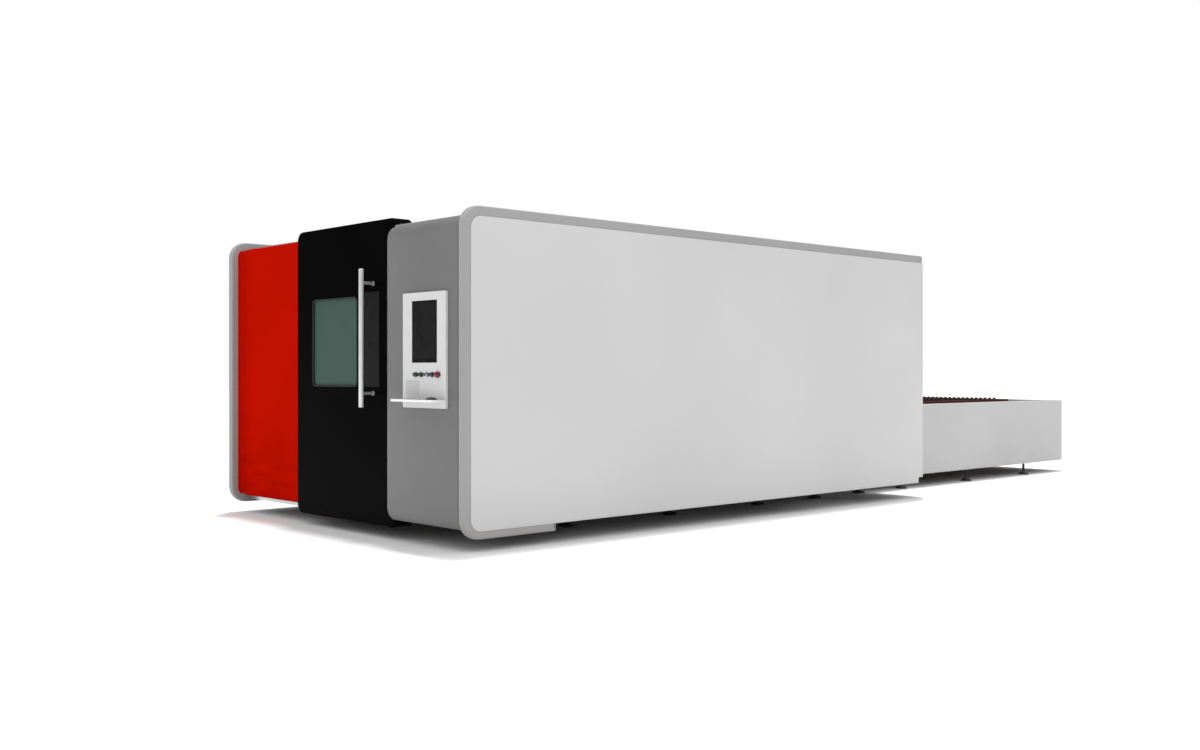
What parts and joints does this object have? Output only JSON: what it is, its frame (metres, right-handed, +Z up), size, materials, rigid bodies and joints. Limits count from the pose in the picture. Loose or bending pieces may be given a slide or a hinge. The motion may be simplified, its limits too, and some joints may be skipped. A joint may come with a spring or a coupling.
{
  "type": "fiber laser cutting machine",
  "caption": "Enclosed fiber laser cutting machine with a sliding front door, side console column, inner gantry and a two-level pallet exchange table at the rear.",
  "frame": {"origin": "middle of the whole box on the floor plane", "axes": "+X from the operator's end to the exchange table, +Y to the operator's left when facing the machine, +Z up"},
  "size_m": [9.14, 3.2, 2.2],
  "materials": {
    "frame_grey": "satin powder coat",
    "panel_grey": "satin powder coat",
    "column_grey": "satin powder coat",
    "door_black": "gloss paint",
    "panel_red": "gloss paint",
    "roof_grey": "satin powder coat",
    "bed_grey": "textured paint",
    "foot_black": "satin",
    "bezel_white": "satin",
    "screen_glass": "gloss",
    "keyboard_grey": "matte",
    "button_green": "gloss",
    "button_black": "gloss",
    "button_red": "gloss",
    "button_blue": "gloss",
    "window_green": "gloss",
    "handle_steel": "brushed",
    "plate_dark": "satin",
    "rail_steel": "ground",
    "block_steel": "satin",
    "magnet_dark": "satin",
    "gantry_silver": "satin",
    "head_silver": "anodised",
    "nozzle_copper": "turned",
    "pallet_maroon": "satin paint",
    "slat_steel": "scorched steel",
    "wheel_steel": "turned",
    "chain_steel": "oiled",
    "table_grey": "satin powder coat",
    "motor_grey": "satin",
    "source_white": "satin powder coat",
    "tray_steel": "mill scale"
  },
  "bodies": {
    "enclosure": {"side_frame_right": "frame_grey", "side_frame_left": "frame_grey", "side_panel_right": "panel_grey", "side_panel_left": "panel_grey", "front_frame": "frame_grey", "front_panel": "panel_red", "roof_frame": "frame_grey", "roof_panels": "roof_grey", "rear_side_panels": "roof_grey", "rear_top_panel": "roof_grey", "console_cabinet": "column_grey", "console_column": "column_grey", "console_bezel": "bezel_white", "console_screen": "screen_glass", "keyboard_tray": "bezel_white", "keyboard": "keyboard_grey", "mouse": "keyboard_grey", "door_rail": "rail_steel", "door_guide": "rail_steel", "machine_bed": "bed_grey", "bed_feet": "foot_black", "gantry_rails": "rail_steel", "magnet_tracks": "magnet_dark", "pallet_rails": "rail_steel", "pallet_chains": "chain_steel", "drive_gearmotor": "motor_grey", "table_frame": "pallet_maroon", "table_side_panels": "table_grey", "table_end_panel": "table_grey", "table_feet": "foot_black", "scrap_trays": "tray_steel", "laser_source": "source_white", "electrical_cabinet": "source_white"},
    "door": {"sliding_door": "door_black", "door_window": "window_green", "door_handle": "handle_steel", "handle_plate": "plate_dark", "door_blocks": "block_steel"},
    "gantry": {"gantry_beam": "gantry_silver", "bearing_blocks": "block_steel", "cross_rails": "rail_steel"},
    "carriage": {"head_carriage": "gantry_silver"},
    "head": {"z_slide": "head_silver", "cutting_head": "head_silver", "nozzle": "nozzle_copper"},
    "upper_pallet": {"upper_pallet_frame": "pallet_maroon", "upper_pallet_slats": "slat_steel"},
    "lower_pallet": {"lower_pallet_frame": "pallet_maroon", "lower_pallet_slats": "slat_steel"},
    "upper_front_wheels": {"upper_wheelset_front": "wheel_steel"},
    "upper_rear_wheels": {"upper_wheelset_rear": "wheel_steel"},
    "lower_front_wheels": {"lower_wheelset_front": "wheel_steel"},
    "lower_rear_wheels": {"lower_wheelset_rear": "wheel_steel"},
    "table_shaft": {"drive_shaft": "wheel_steel"},
    "bed_shaft": {"idler_shaft": "wheel_steel"},
    "start": {"start_button": "button_green"},
    "pause": {"pause_button": "button_black"},
    "key": {"key_switch": "rail_steel"},
    "reset": {"reset_button": "button_blue"},
    "stop": {"emergency_stop": "button_red"}
  },
  "joints": [
    {"name": "door_slide", "type": "slide", "parent": "enclosure", "child": "door", "axis": [0, 1, 0], "range_m": [0, 0.95]},
    {"name": "gantry_slide", "type": "slide", "parent": "enclosure", "child": "gantry", "axis": [1, 0, 0], "range_m": [0, 3.02]},
    {"name": "carriage_slide", "type": "slide", "parent": "gantry", "child": "carriage", "axis": [0, 1, 0], "range_m": [-0.7, 0.7]},
    {"name": "head_lift", "type": "slide", "parent": "carriage", "child": "head", "axis": [0, 0, 1], "range_m": [-0.3, 0]},
    {"name": "pallet_exchange", "type": "slide", "parent": "enclosure", "child": "upper_pallet", "axis": [-1, 0, 0], "range_m": [0, 3.525]},
    {"name": "lower_pallet_slide", "type": "slide", "parent": "enclosure", "child": "lower_pallet", "axis": [1, 0, 0], "range_m": [0, 3.525]},
    {"name": "upper_front_wheel_spin", "type": "hinge", "parent": "upper_pallet", "child": "upper_front_wheels", "pos_m": [1.175, 0, 0.7523], "axis": [0, 1, 0], "continuous": true},
    {"name": "upper_rear_wheel_spin", "type": "hinge", "parent": "upper_pallet", "child": "upper_rear_wheels", "pos_m": [3.391, 0, 0.7523], "axis": [0, 1, 0], "continuous": true},
    {"name": "lower_front_wheel_spin", "type": "hinge", "parent": "lower_pallet", "child": "lower_front_wheels", "pos_m": [-2.35, 0, 0.5423], "axis": [0, 1, 0], "continuous": true},
    {"name": "lower_rear_wheel_spin", "type": "hinge", "parent": "lower_pallet", "child": "lower_rear_wheels", "pos_m": [-0.134, 0, 0.5423], "axis": [0, 1, 0], "continuous": true},
    {"name": "drive_shaft_spin", "type": "hinge", "parent": "enclosure", "child": "table_shaft", "pos_m": [4.41, 0, 0.6473], "axis": [0, 1, 0], "continuous": true},
    {"name": "idler_shaft_spin", "type": "hinge", "parent": "enclosure", "child": "bed_shaft", "pos_m": [-2.885, 0, 0.6473], "axis": [0, 1, 0], "continuous": true},
    {"name": "start_press", "type": "slide", "parent": "enclosure", "child": "start", "axis": [1, 0, 0], "range_m": [0, 0.004], "stiffness_N_per_m": 400},
    {"name": "pause_press", "type": "slide", "parent": "enclosure", "child": "pause", "axis": [1, 0, 0], "range_m": [0, 0.004], "stiffness_N_per_m": 400},
    {"name": "key_turn", "type": "hinge", "parent": "enclosure", "child": "key", "pos_m": [-4.458, -1.224, 1.127], "axis": [1, 0, 0], "range_deg": [0, 90]},
    {"name": "reset_press", "type": "slide", "parent": "enclosure", "child": "reset", "axis": [1, 0, 0], "range_m": [0, 0.004], "stiffness_N_per_m": 400},
    {"name": "emergency_press", "type": "slide", "parent": "enclosure", "child": "stop", "axis": [1, 0, 0], "range_m": [0, 0.005], "stiffness_N_per_m": 800}
  ],
  "couplings": [
    {"joint": "lower_pallet_slide", "follows": "pallet_exchange", "ratio": 1},
    {"joint": "upper_front_wheel_spin", "follows": "pallet_exchange", "rad_per_m": -28.571},
    {"joint": "upper_rear_wheel_spin", "follows": "pallet_exchange", "rad_per_m": -28.571},
    {"joint": "lower_front_wheel_spin", "follows": "pallet_exchange", "rad_per_m": 28.571},
    {"joint": "lower_rear_wheel_spin", "follows": "pallet_exchange", "rad_per_m": 28.571},
    {"joint": "drive_shaft_spin", "follows": "pallet_exchange", "rad_per_m": -9.5238},
    {"joint": "idler_shaft_spin", "follows": "pallet_exchange", "rad_per_m": -9.5238}
  ]
}
